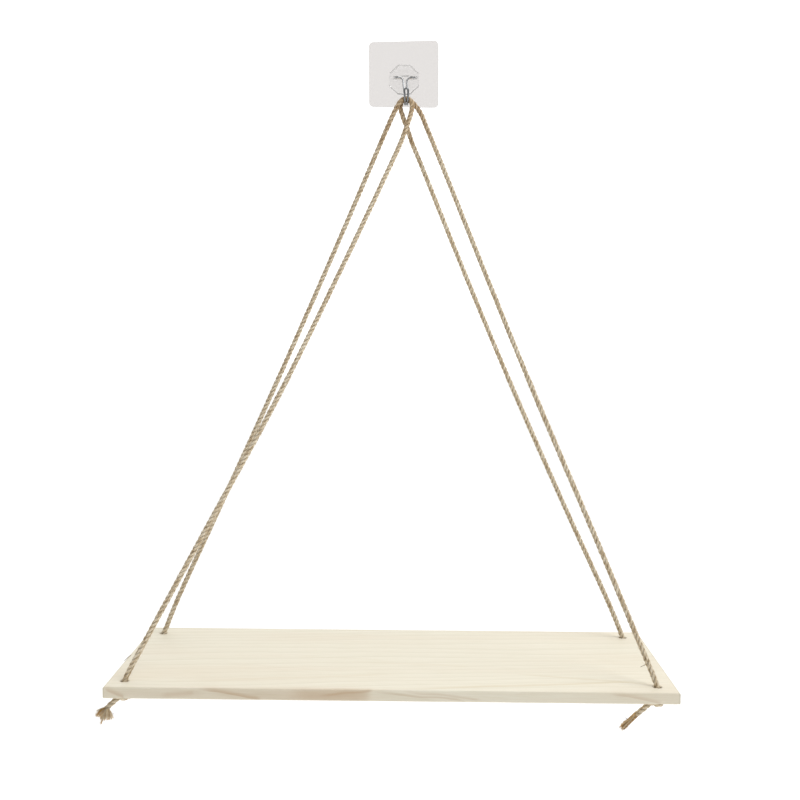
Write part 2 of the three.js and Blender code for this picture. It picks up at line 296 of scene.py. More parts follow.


# Jute rope, spun and laid: dry and matt, with long fibres that run nearly along the rope,
# golden and grey-brown flecks where one yarn was darker, and painted shade that darkens the
# grooves between the strands.
# The fibres are drawn a few times as wide as real ones, so that they show.
FIBRE_WIDTH = 0.00022
FIBRE_LENGTH = 0.0045
FIBRE_RELIEF = 0.00012
FLECK_WIDTH = 0.0012
FLECK_LENGTH = 0.0060
FLECK_STRENGTH = 0.75
GROOVE_FLOOR = 0.0011
GROOVE_RIM = 0.0018
GROOVE_PAINTED_SHADE = 0.45
jute, tree, shader = new_material("jute_laid_rope")
straight = add_node(tree, "ShaderNodeAttribute", {"attribute_name": "straight"}).outputs["Vector"]
fibre_places = add_node(
    tree,
    "ShaderNodeMapping",
    values={"Scale": (1 / FIBRE_WIDTH, 1 / FIBRE_WIDTH, 1 / FIBRE_LENGTH)},
    links={"Vector": straight},
)
fibres = add_node(
    tree,
    "ShaderNodeTexNoise",
    values={"Scale": 1.0, "Detail": 3.0, "Roughness": 0.6},
    links={"Vector": fibre_places.outputs["Vector"]},
)
fleck_places = add_node(
    tree,
    "ShaderNodeMapping",
    values={"Scale": (1 / FLECK_WIDTH, 1 / FLECK_WIDTH, 1 / FLECK_LENGTH)},
    links={"Vector": straight},
)
flecks = add_node(
    tree,
    "ShaderNodeTexNoise",
    values={"Scale": 1.0, "Detail": 2.0, "Roughness": 0.5},
    links={"Vector": fleck_places.outputs["Vector"]},
)
fibre_colour = set_ramp(
    add_node(tree, "ShaderNodeValToRGB", links={"Fac": fibres.outputs["Fac"]}),
    (0.30, "#9d8b70"),
    (0.46, "#d9ccb6"),
    (0.60, "#eae2cf"),
    (0.74, "#f5f1e8"),
)
fleck_colour = set_ramp(
    add_node(tree, "ShaderNodeValToRGB", links={"Fac": flecks.outputs["Fac"]}),
    (0.33, "#b0946a"),
    (0.50, "#ece4d4"),
    (0.66, "#ffffff"),
)
flecked = add_node(
    tree,
    "ShaderNodeMix",
    {"data_type": "RGBA", "blend_type": "MULTIPLY"},
    values={"Factor": FLECK_STRENGTH},
    links={"A": fibre_colour.outputs["Color"], "B": fleck_colour.outputs["Color"]},
)
across_only = add_node(
    tree,
    "ShaderNodeVectorMath",
    {"operation": "MULTIPLY"},
    values={1: (1.0, 1.0, 0.0)},
    links={0: straight},
)
from_middle = add_node(
    tree, "ShaderNodeVectorMath", {"operation": "LENGTH"}, links={0: across_only.outputs["Vector"]}
)
# Painted shade: the rope's colour darkens deeper into the rope, in the grooves between the strands.
painted_groove_shade = add_node(
    tree,
    "ShaderNodeMapRange",
    values={
        "From Min": GROOVE_FLOOR,
        "From Max": GROOVE_RIM,
        "To Min": GROOVE_PAINTED_SHADE,
        "To Max": 1.0,
    },
    links={"Value": from_middle.outputs["Value"]},
)
with_painted_groove_shade = add_node(
    tree,
    "ShaderNodeVectorMath",
    {"operation": "SCALE"},
    links={0: flecked.outputs["Result"], "Scale": painted_groove_shade.outputs["Result"]},
)
fibre_bump = add_node(
    tree,
    "ShaderNodeBump",
    values={"Strength": 0.6, "Distance": FIBRE_RELIEF},
    links={"Height": fibres.outputs["Fac"]},
)
# The rope is a darker gold towards its top, near the hook.
DARKER_GOLD_FROM_Z = -0.075
DARKER_GOLD_TO_Z = -0.030
DARKER_GOLD_STRENGTH = 0.55
rope_place = add_node(
    tree,
    "ShaderNodeSeparateXYZ",
    links={"Vector": add_node(tree, "ShaderNodeTexCoord").outputs["Object"]},
)
near_hook = add_node(
    tree,
    "ShaderNodeMapRange",
    values={
        "From Min": DARKER_GOLD_FROM_Z,
        "From Max": DARKER_GOLD_TO_Z,
        "To Min": 0.0,
        "To Max": DARKER_GOLD_STRENGTH,
    },
    links={"Value": rope_place.outputs["Z"]},
)
darker_gold_near_hook = add_node(
    tree,
    "ShaderNodeMix",
    {"data_type": "RGBA", "blend_type": "MULTIPLY"},
    values={"B": linear("#c8a87c")},
    links={"Factor": near_hook.outputs["Result"], "A": with_painted_groove_shade.outputs["Vector"]},
)
tree.links.new(darker_gold_near_hook.outputs["Result"], shader.inputs["Base Color"])
tree.links.new(fibre_bump.outputs["Normal"], shader.inputs["Normal"])
shader.inputs["Roughness"].default_value = 0.88
shader.inputs["Specular IOR Level"].default_value = 0.25
shader.inputs["Sheen Weight"].default_value = 0.15
shader.inputs["Sheen Roughness"].default_value = 0.5

ROPES = {"left": LEFT_ROUTE, "right": RIGHT_ROUTE}
paths = {side: path_along(smooth_line(route), RING_STEP) for side, route in ROPES.items()}
ropes = {side: laid_rope(f"{side}_rope", path, jute) for side, path in paths.items()}

# Stray fibres: the ends of jute fibres that stand out from the yarns all along the rope and
# make its outline hairy. They are drawn about twice as thick as real ones, so that they show.
# A hair runs along the rope, sways round it and lifts off towards its tip: most of them a
# little, and a few a lot.
HAIRS_PER_METRE = 2600
HAIR_STEPS = 4
HAIR_ROOT = 0.000050
HAIR_TIP = 0.000018
HAIR_RUN = (0.0015, 0.0055)
HAIR_SWAY = 0.35
HAIR_LIFT = 0.00045
HAIR_LIFT_SHAPE = 1.6
HAIR_LIFT_MOST = 0.0024
HAIR_CURL = 1.4
HAIR_ROOT_DEPTH = 0.0003
HAIR_SHADES = (0.35, 1.0)
SEED = 7


def hair_mesh(name, centre, thick, shade):
    """One mesh of many three-sided hairs, because there are thousands. centre[hair, step] are
    places, thick[hair, step] the radius there, and shade[hair] how pale a hair is, from 0 to 1."""
    ahead = np.gradient(centre, axis=1)
    ahead /= np.linalg.norm(ahead, axis=2, keepdims=True)
    # A slanting direction that hairs hardly ever take.
    aslant = (0.31, 0.57, 0.76)
    side = np.cross(ahead, aslant)
    side /= np.linalg.norm(side, axis=2, keepdims=True)
    other = np.cross(ahead, side)
    corners = [
        centre + thick[:, :, None] * (side * math.cos(turn) + other * math.sin(turn))
        for turn in (0, math.tau / 3, 2 * math.tau / 3)
    ]
    places = np.stack(corners, axis=2)
    number = np.arange(places.size // 3).reshape(places.shape[:3])
    low, high = number[:, :-1], number[:, 1:]
    walls = np.stack([low, np.roll(low, -1, 2), np.roll(high, -1, 2), high], axis=3)
    ends = np.concatenate([number[:, 0, ::-1], number[:, -1]])
    mesh = bpy.data.meshes.new(name)
    mesh.from_pydata(places.reshape(-1, 3), [], [*walls.reshape(-1, 4).tolist(), *ends.tolist()])
    hair_shade = mesh.attributes.new("shade", "FLOAT", "POINT")
    hair_shade.data.foreach_set("value", np.repeat(shade, places.shape[1] * 3))
    return mesh


# Loose jute fibre: paler and glossier than the laid rope, with some golden brown hairs.
jute_fibre, tree, shader = new_material("jute_loose_fibre")
shade_of_hair = add_node(tree, "ShaderNodeAttribute", {"attribute_name": "shade"})
hair_colour = set_ramp(
    add_node(tree, "ShaderNodeValToRGB", links={"Fac": shade_of_hair.outputs["Fac"]}),
    (0.0, "#85745a"),
    (0.15, "#b98d55"),
    (0.5, "#d4b483"),
    (0.8, "#e4d5b8"),
    (1.0, "#efe6d2"),
)
tree.links.new(hair_colour.outputs["Color"], shader.inputs["Base Color"])
shader.inputs["Roughness"].default_value = 0.6
shader.inputs["Specular IOR Level"].default_value = 0.3

random = np.random.default_rng(SEED)
for side, path in paths.items():
    count = round(HAIRS_PER_METRE * path["along"][-1])
    share = np.linspace(0, 1, HAIR_STEPS)[None, :]
    turn = random.uniform(0, math.tau, (count, 1))
    turn = turn + random.normal(0, HAIR_SWAY, (count, 1)) * share
    lift = random.gamma(HAIR_LIFT_SHAPE, HAIR_LIFT, (count, 1)).clip(0, HAIR_LIFT_MOST)
    run = random.uniform(*HAIR_RUN, (count, 1)) * random.choice([-1, 1], (count, 1))
    reach = ROPE_RADIUS - HAIR_ROOT_DEPTH + lift * share**HAIR_CURL
    along = random.uniform(0, path["along"][-1], (count, 1)) + run * share
    straight = np.stack([reach * np.cos(turn), reach * np.sin(turn), along], axis=2)
    centre = bent(straight.reshape(-1, 3), path).reshape(straight.shape)
    thick = np.repeat(np.linspace(HAIR_ROOT, HAIR_TIP, HAIR_STEPS)[None, :], count, axis=0)
    mesh = hair_mesh(f"{side}_rope_fibres", centre, thick, random.uniform(*HAIR_SHADES, count))
    keep(mesh, f"{side}_rope_fibres", jute_fibre)

# A few longer threads have come loose: one on the right rope a little above the board, one
# that lies on the board's left edge, and one on each front tail. Each is a yarn that thins
# out, so it starts nearly as thick as the yarns in the rope.
THREAD_ROOT = 0.00036
THREAD_TIP = 0.00016
THREADS = {
    "right_rope_thread": [
        (0.1782, -0.1300, -0.4350),
        (0.1748, -0.1306, -0.4362),
        (0.1712, -0.1310, -0.4378),
    ],
    "thread_on_board": [
        (-0.2034, -0.0765, -0.4498),
        (-0.2042, -0.0845, -0.4498),
        (-0.2047, -0.0915, -0.4498),
    ],
    "left_tail_thread": [
        (-0.2052, -0.1388, -0.4748),
        (-0.2025, -0.1387, -0.4736),
        (-0.1997, -0.1386, -0.4726),
    ],
    "right_tail_thread": [
        (0.1632, -0.1378, -0.4748),
        (0.1614, -0.1378, -0.4733),
        (0.1600, -0.1378, -0.4715),
    ],
}
for name, places in THREADS.items():
    centre = smooth_line(places, per_span=4)[None, :, :]
    thick = np.linspace(THREAD_ROOT, THREAD_TIP, centre.shape[1])[None, :]
    thread = keep(hair_mesh(name, centre, thick, np.zeros(1)), name, jute_fibre)

# Knots and tails: under each hole the rope is tied in an overhand knot and drawn tight, and
# its tail is left about 15 mm long. The rope winds three times down the inside of the knot and
# twice up the outside. Every knot is the rope's own end, so it is the same jute.
# It follows a circle of radius KNOT_RING, KNOT_DOWN below the board, and winds KNOT_WIND about it.
board_low, board_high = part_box("board")
KNOT_RING = 0.0025
KNOT_WIND = 0.0009
KNOT_DOWN = 0.0029
KNOT_HALF_WINDS = 4.5
KNOT_LEAD = 2 / 3
KNOT_STEPS = 60
IN_HOLE = (0.0075, 0.0050)
# A tail's places are counted from the middle of its knot.
TAILS = {
    "front_left": {
        "side": "left",
        "hole": (-0.1930, -0.1355),
        "facing": 180,
        "tail": [
            (-0.0054, 0.0008, -0.0023),
            (-0.0080, -0.0008, -0.0045),
            (-0.0109, -0.0022, -0.0070),
            (-0.0132, -0.0032, -0.0093),
        ],
    },
    "front_right": {
        "side": "right",
        "hole": (0.1825, -0.1365),
        "facing": 190,
        "tail": [
            (-0.0058, 0.0006, -0.0019),
            (-0.0090, -0.0002, -0.0044),
            (-0.0124, -0.0008, -0.0070),
            (-0.0156, -0.0012, -0.0095),
        ],
    },
    "back_left": {
        "side": "left",
        "hole": (-0.1920, -0.0165),
        "facing": 20,
        "tail": [
            (0.0036, -0.0008, -0.0030),
            (0.0046, 0.0002, -0.0064),
            (0.0056, 0.0002, -0.0100),
            (0.0066, -0.0001, -0.0136),
        ],
    },
    "back_right": {
        "side": "right",
        "hole": (0.1805, -0.0155),
        "facing": 160,
        "tail": [
            (-0.0036, 0.0006, -0.0030),
            (-0.0044, -0.0003, -0.0064),
            (-0.0052, -0.0006, -0.0100),
            (-0.0060, -0.0007, -0.0132),
        ],
    },
}


def knot_line(tie):
    """The rope's middle line from inside the hole, round the knot and out along the tail."""
    middle = Vector((*tie["hole"], board_low.z - KNOT_DOWN))
    facing = math.radians(tie["facing"])
    places = [middle + Vector((0, 0, height)) for height in IN_HOLE]
    for step in range(KNOT_STEPS + 1):
        wind = math.pi * (1 + KNOT_HALF_WINDS * step / KNOT_STEPS)
        reach = KNOT_RING + KNOT_WIND * math.cos(wind)
        heading = facing + wind * KNOT_LEAD
        height = KNOT_WIND * math.sin(wind)
        places.append(
            middle + Vector((reach * math.cos(heading), reach * math.sin(heading), height))
        )
    places += [middle + Vector(place) for place in tie["tail"]]
    return smooth_line(places, per_span=6)


tail_paths = {name: path_along(knot_line(tie), RING_STEP) for name, tie in TAILS.items()}
knots = {
    name: laid_rope(f"{name}_tied_knot", path, jute) for name, path in tail_paths.items()
}
for name, knot in knots.items():
    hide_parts(f"knot_{name}")

# Frayed ends: past the last few millimetres of each tail the three strands have come unlaid
# into yarns and loose fibres. The front left end has opened into a tuft, and the front right
# one hangs together in a long point.
# spread is how much further out the outermost yarns end than they start, bloom how late they
# part, rounded the share by which they are shorter, and lean the way that the end points.
FRAYS = {
    "front_left": {
        "yarns": 26,
        "length": 0.0092,
        "spread": 0.0046,
        "bloom": 0.75,
        "rounded": 0.38,
        "lean": (-0.18, -0.2, -0.95),
        "shades": (0.2, 1.0),
    },
    "front_right": {
        "yarns": 15,
        "length": 0.0150,
        "spread": -0.0002,
        "bloom": 1.3,
        "rounded": 0.0,
        "lean": (-0.71, -0.05, -0.70),
        "shades": (0.0, 0.6),
    },
    "back_left": {
        "yarns": 12,
        "length": 0.0090,
        "spread": 0.0022,
        "bloom": 1.0,
        "rounded": 0.1,
        "lean": (0.25, -0.1, -0.95),
        "shades": (0.15, 0.85),
    },
    "back_right": {
        "yarns": 12,
        "length": 0.0090,
        "spread": 0.0020,
        "bloom": 1.0,
        "rounded": 0.1,
        "lean": (-0.22, -0.1, -0.95),
        "shades": (0.15, 0.85),
    },
}
FRAY_STEPS = 8
FRAY_ROOT = 0.0017
# Each yarn has locks and hairs of its own: per_yarn is how many, radii go from root to tip, and
# loose is how far they stray from the yarn.
FRAY_PARTS = {
    "yarn": {"per_yarn": 1, "radii": (0.00048, 0.00036), "loose": 0.0},
    "lock": {"per_yarn": 7, "radii": (0.00016, 0.00009), "loose": 0.75},
    "hair": {"per_yarn": 22, "radii": (HAIR_ROOT, HAIR_TIP), "loose": 1.0},
}
# This share of a turn between each yarn and the next spreads them evenly.
EVEN_TURN = math.tau * 0.382
UNEVEN_TURN = 0.25
YARN_LENGTHS = (0.78, 1.0)
YARN_BOW = 0.0009
YARN_OPENINGS = (0.6, 1.6)
STRAY_TURN = 0.3
STRAY_OUT = 0.12
STRAY_LENGTHS = (-0.25, 0.12)
STRAY_SWAY = 0.0005
STRAY_SHADES = (-0.1, 0.3)
for name, fray in FRAYS.items():
    end = tail_paths[name]["place"][-1]
    back = tail_paths[name]["place"][-3] - end
    lean = np.array(fray["lean"]) / np.linalg.norm(fray["lean"])
    one_way = np.cross(lean, (0.0, 1.0, 0.0))
    one_way /= np.linalg.norm(one_way)
    other_way = np.cross(lean, one_way)
    yarns = fray["yarns"]
    parts = [part for part in FRAY_PARTS.values() for _ in range(part["per_yarn"] * yarns)]
    count = len(parts)
    yarn = np.arange(count) % yarns
    loose = np.array([part["loose"] for part in parts])
    thick = np.array([np.linspace(*part["radii"], FRAY_STEPS) for part in parts])
    share = np.linspace(0, 1, FRAY_STEPS)[None, :, None]
    # Each yarn has its own way out from the middle, and its locks and hairs stay near it.
    turn = (EVEN_TURN * np.arange(yarns) + random.normal(0, UNEVEN_TURN, yarns))[yarn]
    out = np.sqrt((np.arange(yarns) + 0.5) / yarns)[yarn]
    length = random.uniform(*YARN_LENGTHS, yarns)[yarn] * (1 - fray["rounded"] * out**2)
    bow = random.normal(0, YARN_BOW, (yarns, 3))[yarn]
    opening = fray["bloom"] * random.uniform(*YARN_OPENINGS, (yarns, 1, 1))[yarn]
    turn = turn + loose * random.normal(0, STRAY_TURN, count)
    out = out + loose * random.normal(0, STRAY_OUT, count)
    length = length * (1 + loose * random.uniform(*STRAY_LENGTHS, count))
    outward = one_way * np.cos(turn)[:, None] + other_way * np.sin(turn)[:, None]
    reach = FRAY_ROOT + fray["spread"] * share**opening
    sway = bow + loose[:, None] * random.normal(0, STRAY_SWAY, (count, 3))
    centre = (
        end
        + back
        + outward[:, None, :] * out[:, None, None] * reach
        + lean * fray["length"] * length[:, None, None] * share
        + sway[:, None, :] * share**2
    )
    shade = random.uniform(*fray["shades"], yarns)[yarn] + random.uniform(*STRAY_SHADES, count)
    mesh = hair_mesh(f"{name}_frayed_end", centre, thick, shade.clip(0, 1))
    keep(mesh, f"{name}_frayed_end", jute_fibre)

for side, rope in ropes.items():
    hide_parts(f"rope_{side}")

# Board: one pine board, 400 by 150 by 8 mm, sanded and left bare, with a hole drilled near each
# corner. Nothing holds it but the four knots below.
# Pine, sawn and sanded: nearly white sapwood. The growth rings are arcs round the tree's
# middle, which lay behind and below the board. So they stand steeply in it, show as faint lines
# along the top, and are cut at a low angle by the front edge.
RING_PITCH = 0.0090
RING_WANDER = 0.030
HEART_BELOW = 0.065
HEART_Y = 0.10
HEART_TILT = -0.055
# Sizes of the patterns along x, y and z. The rings wander over 250 by 62 mm, a zone is 250 by
# 33 mm, a line of grain 25 by 0.8 mm, and the streaks wander over 29 mm.
RING_WANDER_SIZE = (1 / 4, 1 / 16, 1 / 16)
ZONE_SIZE = (1 / 4, 1 / 30, 1 / 30)
GRAIN_SIZE = (1 / 40, 1 / 1200, 1 / 1200)
STREAK_WANDER_SIZE = (1 / 35, 1 / 35, 1 / 35)
ZONE_EDGE = (0.40, 0.70)
ZONE_STRENGTH = 0.6
GRAIN_STRENGTH = 0.22
GRAIN_RELIEF = 0.0001
pine, tree, shader = new_material("pine_sawn_and_sanded")
place = add_node(tree, "ShaderNodeTexCoord").outputs["Object"]
split = add_node(tree, "ShaderNodeSeparateXYZ", links={"Vector": place})
x, y, z = (split.outputs[axis] for axis in "XYZ")


def noise_on(size, detail, roughness):
    """Noise on the board's places, as an output. size is the pattern's own on each axis."""
    stretched = add_node(
        tree,
        "ShaderNodeMapping",
        values={"Scale": [1 / length for length in size]},
        links={"Vector": place},
    )
    return add_node(
        tree,
        "ShaderNodeTexNoise",
        values={"Scale": 1.0, "Detail": detail, "Roughness": roughness},
        links={"Vector": stretched.outputs["Vector"]},
    ).outputs["Fac"]


def calc(operation, *inputs):
    """A sum on the current material's tree: inputs are numbers or outputs."""
    node = add_node(tree, "ShaderNodeMath", {"operation": operation})
    for i, value in enumerate(inputs):
        if isinstance(value, (int, float)):
            node.inputs[i].default_value = value
        else:
            tree.links.new(value, node.inputs[i])
    return node.outputs["Value"]


def fade(value, start, end):
    """0 before start and 1 past end, with a soft passage between."""
    return add_node(
        tree,
        "ShaderNodeMapRange",
        {"interpolation_type": "SMOOTHSTEP"},
        values={"From Min": start, "From Max": end},
        links={"Value": value},
    ).outputs["Result"]


def fade_out(value, start, end):
    """1 before start and 0 past end."""
    return calc("SUBTRACT", 1.0, fade(value, start, end))


def tinted(colour, tint, amount, how="MIX"):
    """colour with tint on it. colour is an output, tint a hex colour or an output."""
    node = add_node(
        tree,
        "ShaderNodeMix",
        {"data_type": "RGBA", "blend_type": how},
        links={"A": colour, **({} if isinstance(tint, str) else {"B": tint})},
    )
    if isinstance(tint, str):
        node.inputs["B"].default_value = linear(tint)
    if isinstance(amount, (int, float)):
        node.inputs["Factor"].default_value = amount
    else:
        tree.links.new(amount, node.inputs["Factor"])
    return node.outputs["Result"]


wander = noise_on(RING_WANDER_SIZE, detail=2.0, roughness=0.45)
sideways = calc("SUBTRACT", calc("ADD", calc("MULTIPLY", x, HEART_TILT), y), HEART_Y)
upwards = calc("SUBTRACT", z, board_low.z - HEART_BELOW)
from_heart = calc("SQRT", calc("ADD", calc("POWER", sideways, 2.0), calc("POWER", upwards, 2.0)))
wandering = calc("MULTIPLY", calc("SUBTRACT", wander, 0.5), RING_WANDER)
ring_share = calc("FRACT", calc("DIVIDE", calc("ADD", from_heart, wandering), RING_PITCH))
rings = set_ramp(
    add_node(tree, "ShaderNodeValToRGB", links={"Fac": ring_share}),
    (0.0, "#e2dccb"),
    (0.60, "#e0dac8"),
    (0.92, "#dbd5c2"),
    (1.0, "#e1dbca"),
).outputs["Color"]
# Wider zones are a little warmer or greyer than others.
zones = noise_on(ZONE_SIZE, detail=3.0, roughness=0.5)
zoned = tinted(rings, "#ddd3bf", calc("MULTIPLY", fade(zones, *ZONE_EDGE), ZONE_STRENGTH))
# Short fibre lines, drawn about twice as wide as real ones, so that they show.
grain = noise_on(GRAIN_SIZE, detail=3.0, roughness=0.6)
grain_shade = set_ramp(
    add_node(tree, "ShaderNodeValToRGB", links={"Fac": grain}),
    (0.30, "#ddd2bb"),
    (0.58, "#ffffff"),
).outputs["Color"]
wood = tinted(zoned, grain_shade, GRAIN_STRENGTH, "MULTIPLY")

# Lines of darker late wood where a ring is cut at a low angle. Each runs from one place in x to
# another on its own course, given as the height on the front edge or as the depth on the top.
# Its two widths say how far it fades on either side: most lines have one sharp side, and the
# broad dim ones are soft on both. Those of the front edge reach STREAK_IN into the board, and
# those of the top STREAK_DOWN.
STREAK_IN = 0.0060
STREAK_DOWN = 0.0020
EASED_EDGE = 0.0005
STREAK_WANDER = 0.0035
STREAK_BEGIN = 0.30
STREAK_END = 0.12
FRONT_STREAKS = [
    {"x": (-0.2048, -0.1890), "z": (-0.4500, -0.4572), "widths": (0.0015, 0.0040), "strength": 0.36},
    {"x": (-0.2200, -0.1300), "z": (-0.4545, -0.4535), "widths": (0.0060, 0.0060), "strength": 0.20},
    {"x": (-0.1660, -0.1400), "z": (-0.4555, -0.4530), "widths": (0.0030, 0.0030), "strength": 0.24},
    {"x": (-0.1520, -0.0160), "z": (-0.4540, -0.4540), "widths": (0.0090, 0.0090), "strength": 0.26},
    {"x": (-0.1400, -0.0930), "z": (-0.4500, -0.4575), "widths": (0.0006, 0.0034), "strength": 0.50},
    {"x": (-0.0800, -0.0160), "z": (-0.4545, -0.4540), "widths": (0.0070, 0.0080), "strength": 0.34},
    {"x": (-0.0560, -0.0160), "z": (-0.4545, -0.4506), "widths": (0.0014, 0.0016), "strength": 0.45},
    {"x": (-0.0180, 0.0480), "z": (-0.4518, -0.4572), "widths": (0.0006, 0.0020), "strength": 0.30},
    {"x": (0.0019, 0.0600), "z": (-0.4509, -0.4566), "widths": (0.0006, 0.0020), "strength": 0.26},
    {"x": (0.1450, 0.1840), "z": (-0.4510, -0.4572), "widths": (0.0006, 0.0032), "strength": 0.30},
    {"x": (0.1350, 0.2100), "z": (-0.4520, -0.4530), "widths": (0.0070, 0.0080), "strength": 0.05},
]
TOP_STREAKS = [
    {"x": (-0.1750, -0.0020), "y": (-0.1404, -0.1163), "widths": (0.0006, 0.0060), "strength": 0.22},
    {"x": (0.0000, 0.1750), "y": (-0.1493, -0.1270), "widths": (0.0006, 0.0060), "strength": 0.50},
    {"x": (0.0800, 0.1820), "y": (-0.1110, -0.1330), "widths": (0.0006, 0.0050), "strength": 0.34},
    {"x": (-0.0400, 0.0560), "y": (-0.0870, -0.0970), "widths": (0.0006, 0.0060), "strength": 0.18},
    {"x": (-0.0800, -0.0100), "y": (-0.0760, -0.0820), "widths": (0.0006, 0.0050), "strength": 0.12},
]
streak_noise = noise_on(STREAK_WANDER_SIZE, detail=2.0, roughness=0.5)
streak_wander = calc("MULTIPLY", calc("SUBTRACT", streak_noise, 0.5), STREAK_WANDER)
near_front = fade_out(y, board_low.y + EASED_EDGE, board_low.y + STREAK_IN)
near_top = fade(z, board_high.z - STREAK_DOWN, board_high.z - EASED_EDGE)
for streaks, axis, across, near, tint in (
    (FRONT_STREAKS, "z", z, near_front, "#b3936f"),
    (TOP_STREAKS, "y", y, near_top, "#cdbf9f"),
):
    for streak in streaks:
        start, end = streak["x"]
        first, last = streak[axis]
        slope = (last - first) / (end - start)
        course = calc("ADD", calc("MULTIPLY", calc("SUBTRACT", x, start), slope), first)
        above = calc("ADD", calc("SUBTRACT", across, course), streak_wander)
        sharp, soft = streak["widths"]
        core = calc("MULTIPLY", fade(above, -sharp, 0.0), fade_out(above, 0.0, soft))
        begun = fade(x, start, start + STREAK_BEGIN * (end - start))
        unended = fade_out(x, end - STREAK_END * (end - start), end)
        amount = calc("MULTIPLY", calc("MULTIPLY", core, begun), calc("MULTIPLY", unended, near))
        wood = tinted(wood, tint, calc("MULTIPLY", amount, streak["strength"]))
# The board is greyer at its two ends: on the end faces and a little way round their edges.
END_REACH = 0.0015
END_STRENGTH = 0.8
middle_x = (board_low.x + board_high.x) / 2
half_length = (board_high.x - board_low.x) / 2
along_board = calc("ABSOLUTE", calc("SUBTRACT", x, middle_x))
at_end = fade(along_board, half_length - END_REACH, half_length)
wood = tinted(wood, "#c3bba6", calc("MULTIPLY", at_end, END_STRENGTH))

grain_bump = add_node(
    tree,
    "ShaderNodeBump",
    values={"Strength": 0.35, "Distance": GRAIN_RELIEF},
    links={"Height": grain},
)
tree.links.new(wood, shader.inputs["Base Color"])
tree.links.new(grain_bump.outputs["Normal"], shader.inputs["Normal"])
shader.inputs["Roughness"].default_value = 0.6
shader.inputs["Specular IOR Level"].default_value = 0.3

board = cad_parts["board"]
board.data.materials.clear()
board.data.materials.append(pine)

# Wall pad: a nearly square piece of clear flexible PVC, 1 mm thick, with round corners. Its
# whole back is sticky, and it holds by that alone. It is cut out of square, and is a little
# under 2 mm taller on the right than on the left.
PAD_SIZE = (0.0555, 0.0010, 0.0515)
PAD_CORNER = 0.0036
PAD_EDGE = 0.0004
PAD_TURN = math.radians(-0.5)
PAD_TAPER = 0.7
SHARP_ANGLE = math.radians(35)
# Soft PVC sheet, rolled: glossy and clear, with a faint grey cast that shows against white.
pvc, tree, shader = new_material("clear_pvc_sheet")
shader.inputs["Base Color"].default_value = linear("#cac7c5")
shader.inputs["Roughness"].default_value = 0.12
shader.inputs["IOR"].default_value = 1.53
shader.inputs["Transmission Weight"].default_value = 1.0

bm = bmesh.new()
bmesh.ops.create_cube(bm, size=1.0)
bmesh.ops.scale(bm, vec=PAD_SIZE, verts=bm.verts)
bmesh.ops.translate(bm, vec=(0, -PAD_SIZE[1] / 2, 0), verts=bm.verts)
corners = [edge for edge in bm.edges if abs(edge.verts[0].co.y - edge.verts[1].co.y) > PAD_EDGE]
bmesh.ops.bevel(
    bm, geom=corners, offset=PAD_CORNER, affect="EDGES", segments=8, profile=0.5, material=-1
)
front_rim = [edge for edge in bm.edges if all(v.co.y < -PAD_SIZE[1] / 2 for v in edge.verts)]
bmesh.ops.bevel(
    bm, geom=front_rim, offset=PAD_EDGE, affect="EDGES", segments=3, profile=0.5, material=-1
)
for vertex in bm.verts:
    vertex.co.z *= 1 + PAD_TAPER * vertex.co.x
bmesh.ops.rotate(bm, cent=(0, 0, 0), matrix=Matrix.Rotation(PAD_TURN, 3, "Y"), verts=bm.verts)
mesh = bpy.data.meshes.new("clear_wall_pad")
bm.to_mesh(mesh)
bm.free()
pad = keep(mesh, "clear_wall_pad", pvc)
# Only the small faces of the rim and corners are shaded smooth.
for polygon in mesh.polygons:
    polygon.use_smooth = polygon.area < PAD_CORNER**2
mesh.set_sharp_from_angle(angle=SHARP_ANGLE)
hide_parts("wall_pad")

# Hook boss: an eight-sided block of clear plastic moulded onto the pad, with a slot in its face
# and a cross bore that the two turned-out ends of the wire sit in.
# Acrylic, injection moulded: as clear as glass, so that mostly thin dark and bright lines show,
# where its faces meet.
acrylic, tree, shader = new_material("clear_acrylic_moulded")
shader.inputs["Base Color"].default_value = linear("#fafafa")
shader.inputs["Roughness"].default_value = 0.06
shader.inputs["IOR"].default_value = 1.49
shader.inputs["Transmission Weight"].default_value = 1.0
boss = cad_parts["hook_boss"]
boss.data.materials.clear()
boss.data.materials.append(acrylic)

# Wire hook: one piece of 1.5 mm stainless wire, bent double. Its closed end turns up into a
# narrow loop in front of the ropes, and its two ends turn outwards in the boss.
WIRE_RADIUS = 0.00075
WIRE_STEP = 0.0004
WIRE_SIDES = 16
WIRE_END = 0.0004
# Places along half of the wire: side is the distance from the hook's middle plane, and middle is
# where that plane lies, because the hook hangs a little askew.
HOOK_HALF = [
    {"side": 0.00860, "middle": 0.00130, "y": -0.0052, "z": -0.0035},
    {"side": 0.00550, "middle": 0.00130, "y": -0.0052, "z": -0.0037},
    {"side": 0.00300, "middle": 0.00125, "y": -0.0052, "z": -0.0041},
    {"side": 0.00195, "middle": 0.00115, "y": -0.0053, "z": -0.0051},
    {"side": 0.00140, "middle": 0.00105, "y": -0.0056, "z": -0.0066},
    {"side": 0.00135, "middle": 0.00130, "y": -0.0063, "z": -0.0095},
    {"side": 0.00145, "middle": 0.00225, "y": -0.0082, "z": -0.0155},
    {"side": 0.00130, "middle": 0.00235, "y": -0.0090, "z": -0.0202},
    {"side": 0.00095, "middle": 0.00235, "y": -0.0108, "z": -0.0246},
    {"side": 0.00085, "middle": 0.00235, "y": -0.0152, "z": -0.02645},
    {"side": 0.00100, "middle": 0.00235, "y": -0.0196, "z": -0.0246},
    {"side": 0.00135, "middle": 0.00230, "y": -0.0214, "z": -0.0202},
    {"side": 0.00150, "middle": 0.00230, "y": -0.0219, "z": -0.0172},
    {"side": 0.00125, "middle": 0.00230, "y": -0.0221, "z": -0.0160},
    {"side": 0.00045, "middle": 0.00230, "y": -0.0222, "z": -0.0153},
]
